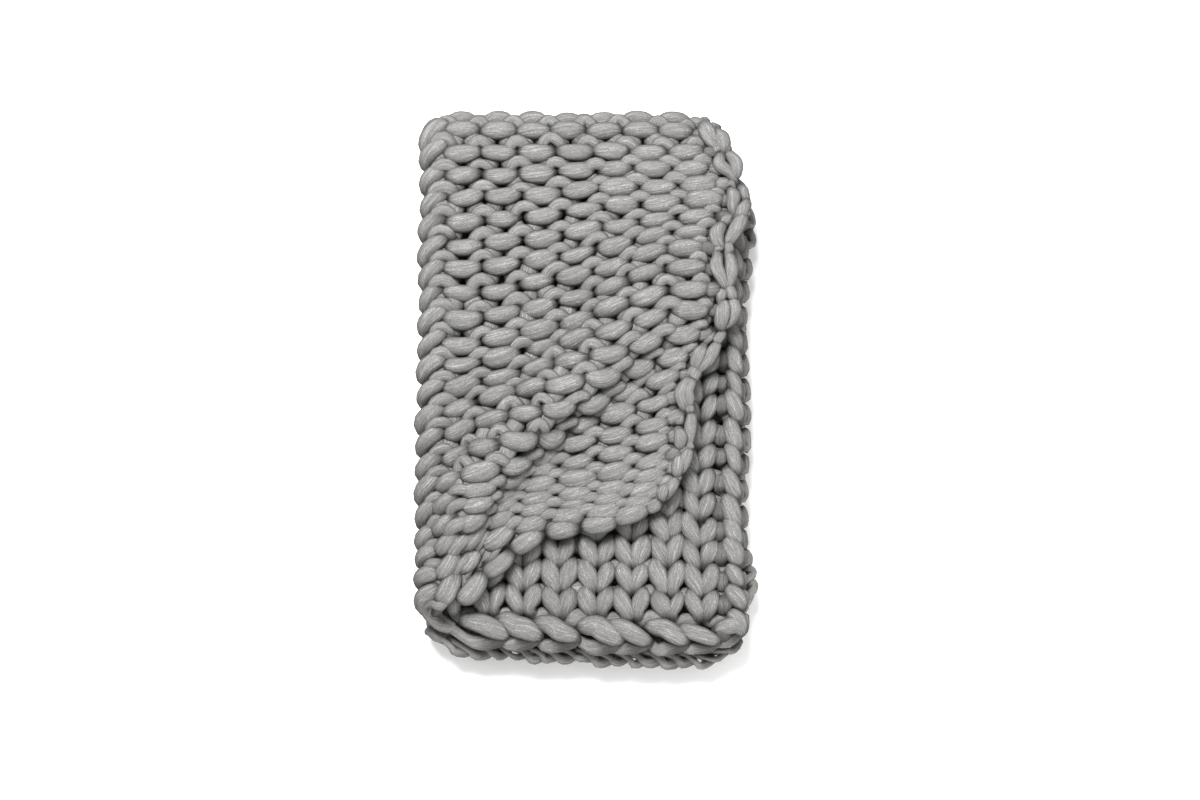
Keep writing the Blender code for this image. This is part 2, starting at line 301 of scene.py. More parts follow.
# Folded surface
def row_turn(row):
    """Length along the cloth from the far fold's middle to a row."""
    quarter = 0.5 * math.pi * PLY
    size = np.abs(row)
    turning = size * quarter / FOLD_ROWS
    straight = quarter + (size - FOLD_ROWS) * ROW
    return np.sign(row) * np.where(size < FOLD_ROWS, turning, straight)


def rounding(x, corner):
    """How far a corner is rounded off at a place across the cloth."""
    start, growth = corner
    away = np.maximum(0.0, x - start if start > 0.0 else start - x)
    return growth * away * away


def wave(at, kind):
    """Slow sine wave."""
    size, turns, start = kind
    return size * np.sin(turns * at + start)


def plain_surface(stitch, row):
    """Middle of the cloth folded in four, before the top layer is drawn up."""
    stitch, row = np.broadcast_arrays(np.asarray(stitch, float), np.asarray(row, float))
    turn = 0.5 * PLY
    length = stitch * STITCH
    quarter = 0.5 * math.pi * turn
    angle = np.clip(length / turn, -0.5 * math.pi, 0.5 * math.pi)
    gather = 1.0 - FOLD_GATHER * np.exp(-((row / GATHER_ROWS) ** 2))
    beyond = (np.abs(length) - quarter) * gather
    x = np.where(np.abs(length) < quarter, FOLD_X - turn * np.cos(angle), FOLD_X + beyond)
    lift = turn * np.sin(angle)
    along = row_turn(row)
    back = FOLD_Y - rounding(x, FAR_RIGHT) - rounding(x, FAR_LEFT)
    turned = np.clip(along / PLY, -0.5 * math.pi, 0.5 * math.pi)
    past = np.maximum(np.abs(along) - 0.5 * math.pi * PLY, 0.0)
    y = back + (PLY + lift) * np.cos(turned) - past
    z = 2.0 * PLY + (PLY + lift) * np.sin(turned)
    edge = smooth((x - SIDE_BAND[0]) / SIDE_BAND[1])
    near = smooth((np.abs(row) - NEAR_BAND[0]) / NEAR_BAND[1])
    corner = np.where(row < 0, rounding(x, NEAR_RIGHT_LOWER), rounding(x, NEAR_RIGHT_UPPER))
    y = y + near * corner
    x = x + edge * (LOW_SLACK * smooth(-row / 2.0) + wave(row, SIDE_WAVE))
    for middle, reach, size in SWINGS:
        x = x + edge * size * np.exp(-(((row - middle) / reach) ** 2))
    y = y + near * (rounding(x, NEAR_LEFT) - wave(x, NEAR_WAVE))
    y = y - wave(x, LOW_WAVE) * smooth(-row / LOW_BAND)
    return np.stack((x, y, z - 0.5 * PLY + HALF), axis=-1)


def top_height(px, py):
    """Height of the middle of the top layer at places on the plan."""
    best = np.full(px.shape, 1e9)
    height = np.zeros(px.shape)
    reach = np.ones(px.shape)
    for first, second in zip(RIDGE[:-1], RIDGE[1:]):
        dx, dy = second[0] - first[0], second[1] - first[1]
        part = ((px - first[0]) * dx + (py - first[1]) * dy) / (dx * dx + dy * dy)
        part = np.clip(part, 0.0, 1.0)
        ox = px - first[0] - part * dx
        oy = py - first[1] - part * dy
        away = np.hypot(ox, oy)
        closer = away < best
        behind = ox * dy - oy * dx > 0.0
        rise = first[2] + part * (second[2] - first[2])
        wide_behind = first[3] + part * (second[3] - first[3])
        wide_before = first[4] + part * (second[4] - first[4])
        best = np.where(closer, away, best)
        height = np.where(closer, rise, height)
        reach = np.where(closer, np.where(behind, wide_behind, wide_before), reach)
    roll = np.exp(-((best / (ROLL_WIDTH * reach)) ** ROLL_POWER))
    total = HALF + 3.0 * PLY + 0.001 * ROLL_HEIGHT * height * roll
    for sx, sy, rise, far in SWELLS:
        total = total + 0.001 * rise * np.exp(-((px - sx) ** 2 + (py - sy) ** 2) / far**2)
    return total


def to_space(px, py, z):
    """Place in metres of a place on the plan at a height."""
    x = (px - PLAN_X) * UNIT
    y = ((PLAN_Y - py) * UNIT - (z - LEAN_Z) * LEAN) / SQUASH
    return np.stack((x, y, z), axis=-1)


def top_row(entry, count):
    """One row of the top layer, as evenly spaced places over its ridge."""
    row, y1, y2, y3, y4, edge_x, edge_y = entry
    turn = 0.5 * PLY
    start = plain_surface(0.5 * math.pi * turn / STITCH, row)
    start_px = start[0] / UNIT + PLAN_X
    start_py = PLAN_Y - (start[1] * SQUASH + (start[2] - LEAN_Z) * LEAN) / UNIT
    xs = [start_px, *PLAN_STOPS, edge_x]
    ys = [start_py, y1, y2, y3, y4, edge_y]
    if edge_x < SHORT_ROW:
        xs[4] = SHORT_STOP
    angles = 0.5 * math.pi * np.arange(ARC_STEPS) / ARC_STEPS
    arc = plain_surface(angles * turn / STITCH, row)
    steps = np.arange(CROSS_STEPS + 1)
    px = start_px + (edge_x - start_px) * steps / CROSS_STEPS
    py = curve_values(xs, ys, px)
    across = to_space(px, py, top_height(px, py))
    fade = smooth(1.0 - steps / EASE_STEPS)
    across = across + fade[:, None] * (start - across[0])
    path = np.concatenate((arc, across))
    length = np.concatenate(([0.0], np.cumsum(np.linalg.norm(np.diff(path, axis=0), axis=1))))
    wanted = np.linspace(0.0, length[-1], count)
    return np.stack([np.interp(wanted, length, path[:, k]) for k in range(3)], axis=1)


class FoldedCloth:
    """Table of the folded cloth's middle surface and its purl-side normals."""

    def __init__(self):
        self.stitches = np.arange(*TABLE_STITCHES, STEP_S)
        self.rows = np.arange(*TABLE_ROWS, STEP_R)
        points = plain_surface(self.stitches[:, None], self.rows[None, :])
        count = PLACES_A_ROW
        keys = list(PLAIN_ROWS)
        places = np.linspace(0.0, TOP_STITCHES, count)
        lines = [plain_surface(places, key) for key in keys]
        for entry in TOP_ROWS:
            keys.append(entry[0])
            lines.append(top_row(entry, count))
        keys = np.array(keys)
        lines = np.array(lines)
        upper = self.rows > 0.0
        right = self.stitches > 0.0
        stack = curve_lines(keys, lines, self.rows[upper])
        place = self.stitches[right] / TOP_STITCHES * (count - 1)
        low = np.clip(np.floor(place).astype(int), 0, count - 2)
        part = (place - low)[None, :, None]
        layer = stack[:, low] * (1.0 - part) + stack[:, low + 1] * part
        points[np.ix_(right, upper)] = layer.transpose(1, 0, 2)
        points[..., 0] -= CENTRE_X
        points[..., 1] -= CENTRE_Y
        self.points = points
        across = soften(np.gradient(points, axis=0))
        along = soften(np.gradient(points, axis=1))
        normals = soften(np.cross(along, across), NORMAL_BLUR)
        self.normals = normals / np.linalg.norm(normals, axis=-1, keepdims=True)
        self.ease = self.bend_ease()

    def bend_ease(self):
        """Share of its height that the yarn keeps where the top layer bends sharply."""
        raised = self.points + EASE_HEIGHT * self.normals
        keep = np.ones(self.points.shape[:2])
        for axis in (0, 1):
            flat = np.linalg.norm(np.gradient(self.points, axis=axis), axis=-1)
            bent = np.linalg.norm(np.gradient(raised, axis=axis), axis=-1)
            ratio = bent / np.maximum(flat, 1e-6)
            keep = np.minimum(keep, np.minimum(ratio, 1.0 / np.maximum(ratio, 1e-3)))
        stitch, stitch_reach, row, row_reach = EASE_BAND
        over_stitches = smooth((self.stitches - stitch) / stitch_reach)[:, None]
        inner = over_stitches * smooth((self.rows - row) / row_reach)[None, :]
        ease = 1.0 - inner * (1.0 - np.clip(keep, LEAST_EASE, 1.0))
        return soften(ease, EASE_BLUR)[..., None]

    def lay(self, stitch, row, height):
        """Places in space of flat places on the cloth."""
        i = (stitch - self.stitches[0]) / STEP_S
        j = (row - self.rows[0]) / STEP_R
        i0 = np.clip(i.astype(int), 0, len(self.stitches) - 2)
        j0 = np.clip(j.astype(int), 0, len(self.rows) - 2)
        u = (i - i0)[:, None]
        v = (j - j0)[:, None]

        def read(table):
            return (
                table[i0, j0] * (1 - u) * (1 - v)
                + table[i0 + 1, j0] * u * (1 - v)
                + table[i0, j0 + 1] * (1 - u) * v
                + table[i0 + 1, j0 + 1] * u * v
            )

        normal = read(self.normals)
        normal = normal / np.linalg.norm(normal, axis=1, keepdims=True)
        return read(self.points) + normal * height[:, None] * read(self.ease)


def curve_lines(keys, lines, rows):
    """Smooth surface through the key rows, at an array of rows."""
    slopes = slopes_of(keys, lines)
    index = np.clip(np.searchsorted(keys, rows) - 1, 0, len(keys) - 2)
    span = (keys[index + 1] - keys[index])[:, None, None]
    part = (rows - keys[index])[:, None, None] / span
    inside = np.minimum(part, 1.0)
    beyond = part - inside
    value = ease_through(lines, slopes, index, span, inside)
    return value + beyond * span * slopes[index + 1]


def soften(table, times=2):
    """Blurs a table a little along both of its ways."""
    for axis in (0, 1):
        for _ in range(times):
            before = np.roll(table, 1, axis=axis)
            after = np.roll(table, -1, axis=axis)
            table = 0.25 * before + 0.5 * table + 0.25 * after
    return table


# Yarn paths in flat cloth: stitch, row, height over the middle, radius
def stitch_place(count):
    """Where loop number count lies across the cloth; whole numbers are its low arcs."""
    crowded = np.maximum(count - RIGHT_CROWD[0], 0.0)
    upper = UPPER_SPREAD * count - UPPER_SHIFT * smooth(count) - RIGHT_CROWD[1] * crowded
    crowded = np.minimum(count + LEFT_CROWD[0], 0.0)
    lower = count - LOWER_SHIFT * smooth(-count / 1.5) - LEFT_CROWD[1] * crowded
    lower = lower + LOWER_RETURN * smooth((-count - 6.0) / 1.5)
    return np.where(count > 0.0, upper, lower)


def wander(length, rng, kind):
    """Smooth random values along a strand."""
    scale, size = kind
    knots = rng.normal(0.0, 1.0, int(length.max() / scale) + 4)
    return size * curve_values(np.arange(len(knots)) * scale, knots, length)


# One loop of yarn: share of the loop, place, row, height in mm, radius in mm
LOOP = (
    (0.000, 0.000, 0.705, 8.8, 13.6),
    (0.060, 0.185, 0.680, 7.6, 13.3),
    (0.110, 0.320, 0.600, 3.0, 11.6),
    (0.160, 0.385, 0.440, -4.5, 10.2),
    (0.215, 0.345, 0.220, -6.8, 12.2),
    (0.270, 0.270, -0.010, -7.4, 13.3),
    (0.325, 0.210, -0.210, -6.4, 12.4),
    (0.375, 0.190, -0.400, -3.6, 10.4),
    (0.420, 0.225, -0.580, 5.5, 8.6),
    (0.460, 0.315, -0.745, 10.0, 8.6),
    (0.500, 0.430, -0.810, 12.0, 8.7),
    (0.540, 0.550, -0.780, 11.0, 8.7),
    (0.580, 0.665, -0.670, 6.5, 8.5),
    (0.625, 0.785, -0.490, -2.0, 9.8),
    (0.675, 0.810, -0.250, -6.2, 12.2),
    (0.730, 0.745, 0.010, -7.4, 13.3),
    (0.785, 0.665, 0.270, -6.8, 12.2),
    (0.840, 0.615, 0.480, -3.5, 10.4),
    (0.890, 0.685, 0.620, 4.5, 12.2),
    (0.940, 0.820, 0.690, 8.2, 13.3),
)


def loop_shape(count):
    """Sideways offset, row, height and radius of the yarn at places along a row of loops."""
    table = np.array(LOOP)
    table[:, 1] -= table[:, 0]
    before, after = table.copy(), table.copy()
    before[:, 0] -= 1.0
    after[:, 0] += 1.0
    table = np.concatenate((before, table, after))
    share = count - np.floor(count)
    return [curve_values(table[:, 0], table[:, k], share) for k in (1, 2, 3, 4)]


def row_path(index, settings, rng):
    """One row of loops across the open cloth, from the far side edge to the near one."""
    count = np.arange(FIRST_LOOP, LAST_LOOP, 1.0 / POINTS_A_STITCH)
    offset, rise, depth, thick = loop_shape(count)
    at_right = smooth((count - RIGHT_THIN[0]) / RIGHT_THIN[1])
    at_left = smooth((LEFT_THIN[0] - count) / LEFT_THIN[1])
    at_end = smooth((count - END_DIVE[0]) / END_DIVE[1])
    at_fold = np.exp(-((count / FOLD_LOOPS) ** 2))
    place = stitch_place(count) + settings.loop_width * offset * (1.0 - RIGHT_NARROW * at_right)
    rows = LAST_ROW - index + settings.loop_height * rise - FOLD_DROP * place * at_fold
    place = place + FOLD_SHIFT * at_fold
    height = 0.001 * settings.loop_depth * depth - END_DEPTH * at_end - RIGHT_DEPTH * at_right
    height = height + LEFT_RISE * at_left
    slim = 1.0 - LEFT_SLIM * at_left - RIGHT_SLIM * at_right
    radius = thick * 0.001 * settings.yarn_scale * slim
    steps = np.hypot(np.diff(place) * MM_A_STITCH, np.diff(rows) * MM_A_ROW)
    along = np.concatenate(([0.0], np.cumsum(steps)))
    place = place + wander(along, rng, STITCH_WANDER)
    rows = rows + wander(along, rng, ROW_WANDER[0]) + wander(along, rng, ROW_WANDER[1])
    height = height + wander(along, rng, HEIGHT_WANDER)
    thicker = 1.0 + wander(along, rng, RADIUS_WANDER[0]) + wander(along, rng, RADIUS_WANDER[1])
    radius = radius * thicker
    return np.stack((place, rows, height, radius), axis=1)


def turn_points(first, second, side):
    """Strand along the side edge, from the end of one row to the start of the next."""
    which = 0 if side > 0 else 1
    edge, lift = TURN_PLACES[which], TURN_HEIGHTS[which]
    middle = 0.5 * (first[:3] + second[:3])
    steps = []
    for share in (0.25, 0.5, 0.75):
        point = first * (1.0 - share) + second * share
        point[0] = middle[0] + (edge - middle[0]) * math.sin(math.pi * share)
        point[2] = lift
        point[3] = TURN_RADIUS
        steps.append(point)
    return np.array(steps)


def rows_strand(first, last, settings, rng):
    """Rows knitted to and fro with one strand."""
    pieces = []
    for index in range(first, last):
        path = row_path(index, settings, rng)
        rightward = index % 2 == 0
        path = path if rightward else path[::-1]
        if pieces:
            pieces.append(turn_points(pieces[-1][-1], path[0], -1.0 if rightward else 1.0))
        pieces.append(path)
    return resample(np.concatenate(pieces), settings)


def resample(points, settings):
    """Even, smooth points through rough ones."""
    steps = np.diff(points[:, :3] * (STITCH, ROW, 1.0), axis=0)
    length = np.concatenate(([0.0], np.cumsum(np.linalg.norm(steps, axis=1))))
    keep = np.concatenate(([True], np.diff(length) > 1e-6))
    points, length = points[keep], length[keep]
    count = int(length[-1] / settings.step) + 2
    wanted = np.linspace(0.0, length[-1], count)
    return np.stack([curve_values(length, points[:, k], wanted) for k in range(4)], axis=1)


# One link of an edge chain: along, across, height in mm, radius in mm
LINK = (
    (0.52, 0.90, -4.0, 8.0),
    (0.36, 0.92, 4.5, 11.0),
    (0.11, 0.66, 9.5, 13.2),
    (-0.16, 0.24, 10.0, 13.4),
    (-0.42, -0.16, 5.0, 11.0),
    (-0.58, -0.40, -3.0, 8.0),
    (-0.50, -0.60, -4.0, 9.0),
    (-0.26, -0.76, -3.5, 10.8),
    (0.02, -0.96, -6.0, 11.0),
    (0.26, -1.02, -11.0, 9.2),
    (0.45, -0.60, -14.0, 7.5),
    (0.75, 0.00, -13.0, 7.0),
    (1.15, 0.50, -11.0, 7.0),
)

# The same chain where it goes round the left fold
FOLD_LINK = (
    (-0.30, 0.10, -10.0, 9.0),
    (0.00, -0.10, -12.0, 11.5),
    (0.28, 0.05, -10.0, 9.5),
)

# One link of the side edge of the top and the bottom layer, two rows long
SIDE_LINK = (
    (0.46, 0.10, 0.0, 6.5),
    (0.30, 0.80, 7.0, 9.2),
    (0.07, 1.00, 10.0, 10.2),
    (-0.14, 1.00, 6.0, 8.4),
    (-0.25, 0.95, 1.0, 6.4),
    (-0.35, 0.85, 6.5, 7.8),
    (-0.45, 0.60, 3.0, 7.0),
    (-0.58, 0.00, -5.0, 6.0),
    (-0.52, -0.60, 2.0, 7.0),
    (-0.42, -0.90, 7.0, 8.0),
    (-0.31, -1.00, 1.5, 6.4),
    (-0.18, -1.05, 7.0, 8.4),
    (0.02, -1.05, 12.0, 10.6),
    (0.26, -0.70, 8.5, 9.0),
    (0.44, -0.10, 0.0, 6.5),
    (0.75, 0.00, -8.0, 5.5),
)

# One link of the side edge of the two middle layers, one row long
INNER_LINK = (
    (-0.52, -0.80, -2.0, 7.5),
    (-0.34, -0.62, 5.0, 10.0),
    (-0.06, -0.22, 9.5, 12.0),
    (0.22, 0.22, 9.0, 11.8),
    (0.46, 0.62, 3.0, 9.0),
    (0.54, 1.05, -4.0, 6.6),
    (0.26, 1.38, -4.0, 6.0),
    (-0.04, 1.20, -5.0, 6.0),
    (-0.04, 0.20, -10.0, 6.5),
    (0.00, -1.00, -4.0, 8.5),
    (0.06, -1.95, 3.5, 11.6),
    (0.30, -2.05, 3.0, 11.4),
    (0.46, -1.50, -4.0, 8.5),
)


# Chains of the near edges: the row that they start from, the side that they lie on, stitches to
# a link, and size
CAST_OFF = (NEAR_ROWS - 0.4, 1.0, 1.0, 1.0)
CAST_ON = (-FAR_ROWS + 0.25, -1.0, 0.47, 0.64)
CHAIN_STITCHES = 16.0
CHAIN_START = 8.4
FOLD_REACH = 0.75

# Chains of the side edges: place in stitches, width, first row, rows to a link, and links
SIDE_CHAIN = (8.45, 0.18, 21.4, 2.0, 22)
INNER_CHAIN = (-8.60, -0.17, -20.9, 1.04, 42)

# Unevenness of the links: of their sizes and shifts, and of each point's place
END_UNEVEN = {"fat": 0.13, "slip": 0.10, "tall": 0.14, "stitch": 0.02, "row": 0.03}
SIDE_UNEVEN = {
    "fat, long, wide": (0.14, 0.09, 0.16),
    "slip, lean": (0.12, 0.20),
    "stitch": 0.025,
    "row": 0.07,
    "height": 0.0008,
}
INNER_UNEVEN = {"fat, slip": (0.09, 0.06), "stitch": 0.015, "row": 0.04}

# The end chains tuck under past the left fold: how far in they lie, the tuck's start and reach,
# and how much farther in, deeper and thinner it makes them
CHAIN_WIDTH = 0.42
CHAIN_INSET = 0.12
TUCK = (0.5, 1.2)
TUCK_INSET = 0.50
TUCK_DEPTH = 4.0
TUCK_SLIM = 0.25

# Millimetres that the chains stand out more than their links say
CHAIN_LIFT = 2.0


def edge_chain(kind, settings, rng):
    """Chain of links along a cast-on or cast-off edge, rolled over to the plain side."""
    row, out, pitch, size = kind
    points = []
    for link in range(int(CHAIN_STITCHES / pitch)):
        fat = size * (1.0 + rng.normal(0.0, END_UNEVEN["fat"]))
        slip = rng.normal(0.0, END_UNEVEN["slip"]) * pitch
        tall = 1.0 + rng.normal(0.0, END_UNEVEN["tall"])
        shape = FOLD_LINK if abs(link * pitch - CHAIN_START) < FOLD_REACH else LINK
        for along, across, height, radius in shape:
            count = (link + along) * pitch - CHAIN_START + slip
            under = float(smooth(count / TUCK[1] + TUCK[0]))
            across = across * tall
            inward = CHAIN_WIDTH * size * across + CHAIN_INSET + TUCK_INSET * under
            points.append((
                count + rng.normal(0.0, END_UNEVEN["stitch"]) * pitch,
                row - out * inward + rng.normal(0.0, END_UNEVEN["row"]),
                -0.001 * (height * size + CHAIN_LIFT + TUCK_DEPTH * under),
                0.001 * radius * fat * (1.0 - TUCK_SLIM * under),
            ))
    points = np.array(points)
    points[:, 0] = stitch_place(points[:, 0])
    return resample(points, settings)


def side_chain(settings, rng):
    """Chain of long links along the side edge of the top and the bottom layer."""
    place, width, first, pitch, links = SIDE_CHAIN
    points = []
    for link in range(links):
        fat, long, wide = 1.0 + rng.normal(0.0, SIDE_UNEVEN["fat, long, wide"])
        slip, lean = rng.normal(0.0, SIDE_UNEVEN["slip, lean"])
        for along, across, height, radius in SIDE_LINK:
            row = first - pitch * link + pitch * along * long + slip + lean * across
            points.append((
                place + width * across * wide + rng.normal(0.0, SIDE_UNEVEN["stitch"]),
                row + rng.normal(0.0, SIDE_UNEVEN["row"]),
                0.001 * (height + CHAIN_LIFT) + rng.normal(0.0, SIDE_UNEVEN["height"]),
                0.001 * radius * fat,
            ))
    return resample(np.array(points), settings)


def inner_chain(settings, rng):
    """Chain of leaning links along the side edge of the two middle layers."""
    place, width, first, pitch, links = INNER_CHAIN
    points = []
    for link in range(links):
        fat, slip = rng.normal((1.0, 0.0), INNER_UNEVEN["fat, slip"])
        for along, across, height, radius in INNER_LINK:
            points.append((
                place + width * across + rng.normal(0.0, INNER_UNEVEN["stitch"]),
                first + pitch * link + along + slip + rng.normal(0.0, INNER_UNEVEN["row"]),
                -0.001 * height,
                0.001 * radius * fat,
            ))
    return resample(np.array(points), settings)


# Share of a limit below which yarn isn't pressed, the limit in the open, the one under the
# bottom layer, how far the plain side stands free where it is bare, and the height above the
# floor below which yarn is eased onto it
FREE_SHARE = 0.6
NO_LIMIT = 1.0
FLOOR_LIMIT = 0.003
BARE_LIMIT = 0.02
FLOOR_SOFT = 0.004

# Share of its radius that yarn keeps between two layers, and the least room that it has
KEPT_RADIUS = 0.8
LEAST_ROOM = 0.001

# First stitch and row of the top layer, and of the underside of the bottom one
TOP_FROM = (-0.2, -0.5)
UNDER_FROM = (0.6, -3.0)

# Where the second layer is bare: past a stitch and a row beside the top layer, and past a row
# at the cast-off edge, each with its reach
BARE_BESIDE = (6.9, 0.6, 10.0, 3.0)
BARE_NEAR = (17.0, 1.5)


def soft_limit(value, limit):
    """Presses what stands out past a limit flat against it."""
    free = FREE_SHARE * limit
    over = np.maximum(value - free, 0.0)
    pressed = free + (limit - free) * (1.0 - np.exp(-over / (limit - free)))
    return np.where(value > free, pressed, value)


def press(stitch, row, height, radius):
    """Layers that lie on each other, or on the floor, are pressed flat there."""
    between = np.maximum(0.5 * PLY - KEPT_RADIUS * radius, LEAST_ROOM)
    top = (stitch > TOP_FROM[0]) & (row > TOP_FROM[1])
    under = (stitch > UNDER_FROM[0]) & (row < UNDER_FROM[1])
    purl_limit = np.where(top, NO_LIMIT, between)
    purl_limit = np.where(under, FLOOR_LIMIT, purl_limit)
    past, reach, from_row, row_reach = BARE_BESIDE
    beside = smooth((-stitch - past) / reach) * smooth((row - from_row) / row_reach)
    bare = np.maximum(smooth((row - BARE_NEAR[0]) / BARE_NEAR[1]), beside)
    second = (stitch < 0.0) & (row > 0.0)
    plain_limit = np.where(second, between + bare * BARE_LIMIT, between)
    height = np.where(height > 0.0, soft_limit(height, purl_limit), height)
    return np.where(height < 0.0, -soft_limit(-height, plain_limit), height)


# Sweep of the yarn, as geometry nodes
def add_sockets(tree, inputs, outputs):
    """Named sockets of a group: name and kind, and each input's default."""
    for name, kind, value in inputs:
        socket = tree.interface.new_socket(name, in_out="INPUT", socket_type=f"NodeSocket{kind}")
        if value is not None:
            socket.default_value = value
    for name, kind in outputs:
        tree.interface.new_socket(name, in_out="OUTPUT", socket_type=f"NodeSocket{kind}")


def fill(tree, node, inputs):
    """Links each input of a node to a socket, or sets it to a value."""
    for key, value in inputs.items():
        if isinstance(value, bpy.types.NodeSocket):
            tree.links.new(value, node.inputs[key])
        else:
            node.inputs[key].default_value = value


def made(tree, kind, inputs=None, **settings):
    """New node with its settings and inputs."""
    node = tree.nodes.new(kind)
    for name, value in settings.items():
        setattr(node, name, value)
    fill(tree, node, inputs or {})
    return node


def product(tree, first, second):
    """Two values multiplied by a node."""
    both = made(tree, "ShaderNodeMath", {0: first, 1: second}, operation="MULTIPLY")
    return both.outputs["Value"]


def captured(tree, kind, name, geometry, value):
    """Keeps a value with the points of a geometry."""
    keep = made(tree, "GeometryNodeCaptureAttribute")
    keep.capture_items.new(kind, name)
    fill(tree, keep, {"Geometry": geometry, name: value})
    return keep


def sweep_tree(material):
    """Sweeps a round strand along a path and stores where each point lies in the yarn."""
    tree = bpy.data.node_groups.new("swept_yarn", "GeometryNodeTree")
    sizes = (("Sides", "Int", SIDES), ("Yarn radius", "Float", YARN_RADIUS))
    add_sockets(tree, (("Path", "Geometry", None), *sizes), (("Yarn", "Geometry"),))
    start = made(tree, "NodeGroupInput")
    to_curve = made(tree, "GeometryNodeMeshToCurve", {"Mesh": start.outputs["Path"]})
    named = {"Name": "strand_radius"}
    width = made(tree, "GeometryNodeInputNamedAttribute", named, data_type="FLOAT")
    set_radius = made(tree, "GeometryNodeSetCurveRadius", {
        "Curve": to_curve.outputs["Curve"],
        "Radius": width.outputs["Attribute"],
    })
    length = made(tree, "GeometryNodeSplineParameter").outputs["Length"]
    strand = captured(tree, "FLOAT", "Length", set_radius.outputs["Curve"], length)
    unit_ring = {"Radius": 1.0, "Resolution": start.outputs["Sides"]}
    circle = made(tree, "GeometryNodeCurvePrimitiveCircle", unit_ring, mode="RADIUS")
    place = made(tree, "GeometryNodeInputPosition").outputs["Position"]
    ring = captured(tree, "VECTOR", "Around", circle.outputs["Curve"], place)
    sweep = made(tree, "GeometryNodeCurveToMesh", {
        "Curve": strand.outputs["Geometry"],
        "Profile Curve": ring.outputs["Geometry"],
        "Fill Caps": True,
        "Scale": width.outputs["Attribute"],
    })
    split = made(tree, "ShaderNodeSeparateXYZ", {"Vector": ring.outputs["Around"]})
    radius = start.outputs["Yarn radius"]
    join = made(tree, "ShaderNodeCombineXYZ", {
        "X": strand.outputs["Length"],
        "Y": product(tree, split.outputs["X"], radius),
        "Z": product(tree, split.outputs["Y"], radius),
    })
    store = made(
        tree, "GeometryNodeStoreNamedAttribute", data_type="FLOAT_VECTOR", domain="POINT"
    )
    fill(tree, store, {
        "Geometry": sweep.outputs["Mesh"],
        "Name": "yarn_space",
        "Value": join.outputs["Vector"],
    })
    real = made(tree, "GeometryNodeRealizeInstances", {"Geometry": store.outputs["Geometry"]})
    paint = made(tree, "GeometryNodeSetMaterial", {
        "Geometry": real.outputs["Geometry"],
        "Material": material,
    })
    made(tree, "NodeGroupOutput", {"Yarn": paint.outputs["Geometry"]})
    return tree


def path_object(name, path, cloth):
    """Bare strand laid on the folded cloth, with its radius on the points."""
    stitch, row, height, radius = path.T
    points = cloth.lay(stitch, row, press(stitch, row, height, radius))
    edges = [(k, k + 1) for k in range(len(points) - 1)]
    mesh = bpy.data.meshes.new(name)
    mesh.from_pydata(points.tolist(), edges, [])
    # How far the yarn dives, which the wool darkens with painted shade
    dive = 1.0 - smooth(np.abs(height) / DIVE_HEIGHT)
    for label, values in (("strand_radius", radius), ("strand_dive", dive)):
        mesh.attributes.new(label, "FLOAT", "POINT").data.foreach_set("value", values)
    item = bpy.data.objects.new(name, mesh)
    bpy.context.scene.collection.objects.link(item)
    return item


def knit_piece(name, path, cloth, settings, tree):
    """Lays a strand on the folded cloth and sweeps the yarn along it."""
    item = path_object(name, path, cloth)
    modifier = item.modifiers.new("yarn", "NODES")
    modifier.node_group = tree
    sockets = {s.name: s.identifier for s in tree.interface.items_tree if s.in_out == "INPUT"}
    modifier[sockets["Sides"]] = settings.sides
    modifier[sockets["Yarn radius"]] = YARN_RADIUS * settings.yarn_scale
    ready = item.evaluated_get(bpy.context.evaluated_depsgraph_get())
    mesh = bpy.data.meshes.new_from_object(ready)
    if not mesh.polygons:
        raise RuntimeError(f"{name}: no yarn was swept")
    item.modifiers.clear()
    bare = item.data
    item.data = mesh
    bpy.data.meshes.remove(bare)
    rest_on_floor(mesh)
    mesh.polygons.foreach_set("use_smooth", np.ones(len(mesh.polygons), bool))
    mesh.update()
    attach(item, "root")
    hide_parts("blanket")


def rest_on_floor(mesh):
    """Yarn that would sink into the floor is pressed flat on it."""
    flat = np.empty(len(mesh.vertices) * 3)
    mesh.vertices.foreach_get("co", flat)
    places = flat.reshape(-1, 3)
    low = places[:, 2] < FLOOR_SOFT
    places[low, 2] = FLOOR_SOFT * np.exp((places[low, 2] - FLOOR_SOFT) / FLOOR_SOFT)
    mesh.vertices.foreach_set("co", places.reshape(-1))


# Fibres, from locks of roving to specks: how often they repeat along and across the yarn for
# each metre, detail and roughness
FIBRES = (
    (18.0, 210.0, 2.0, 0.5),
    (36.0, 620.0, 3.0, 0.6),
    (110.0, 1900.0, 3.0, 0.65),
    (500.0, 900.0, 3.0, 0.7),
)

# Turn of the fibres round the yarn in radians for each metre
TWIST = 14.0

# Shares of the second of the coarse fibres, the second of the fine ones, and all fine ones
TONE_SHARES = (0.72, 0.45, 0.64)
HEIGHT_SHARES = (0.70, 0.3, 0.45)
BUMP_HEIGHT = 0.0014

# Places of the dark, middle and light wool in the tones of the fibres
DARK_TONE = 0.36
MIDDLE_TONE = 0.52
LIGHT_TONE = 0.66

# Heights between which yarn takes painted floor light and loses its painted shade, the most
# painted light that it takes and the least painted shade that stays
LIGHT_HEIGHTS = (0.075, 0.02)
SHADE_HEIGHTS = (0.090, 0.035)
MOST_LIGHT = 0.8
LEAST_SHADE = 0.25

# How far the yarn turns away from the view before its painted rim shade starts, and when it is
# darkest
RIM_TURN = (0.30, 0.95)


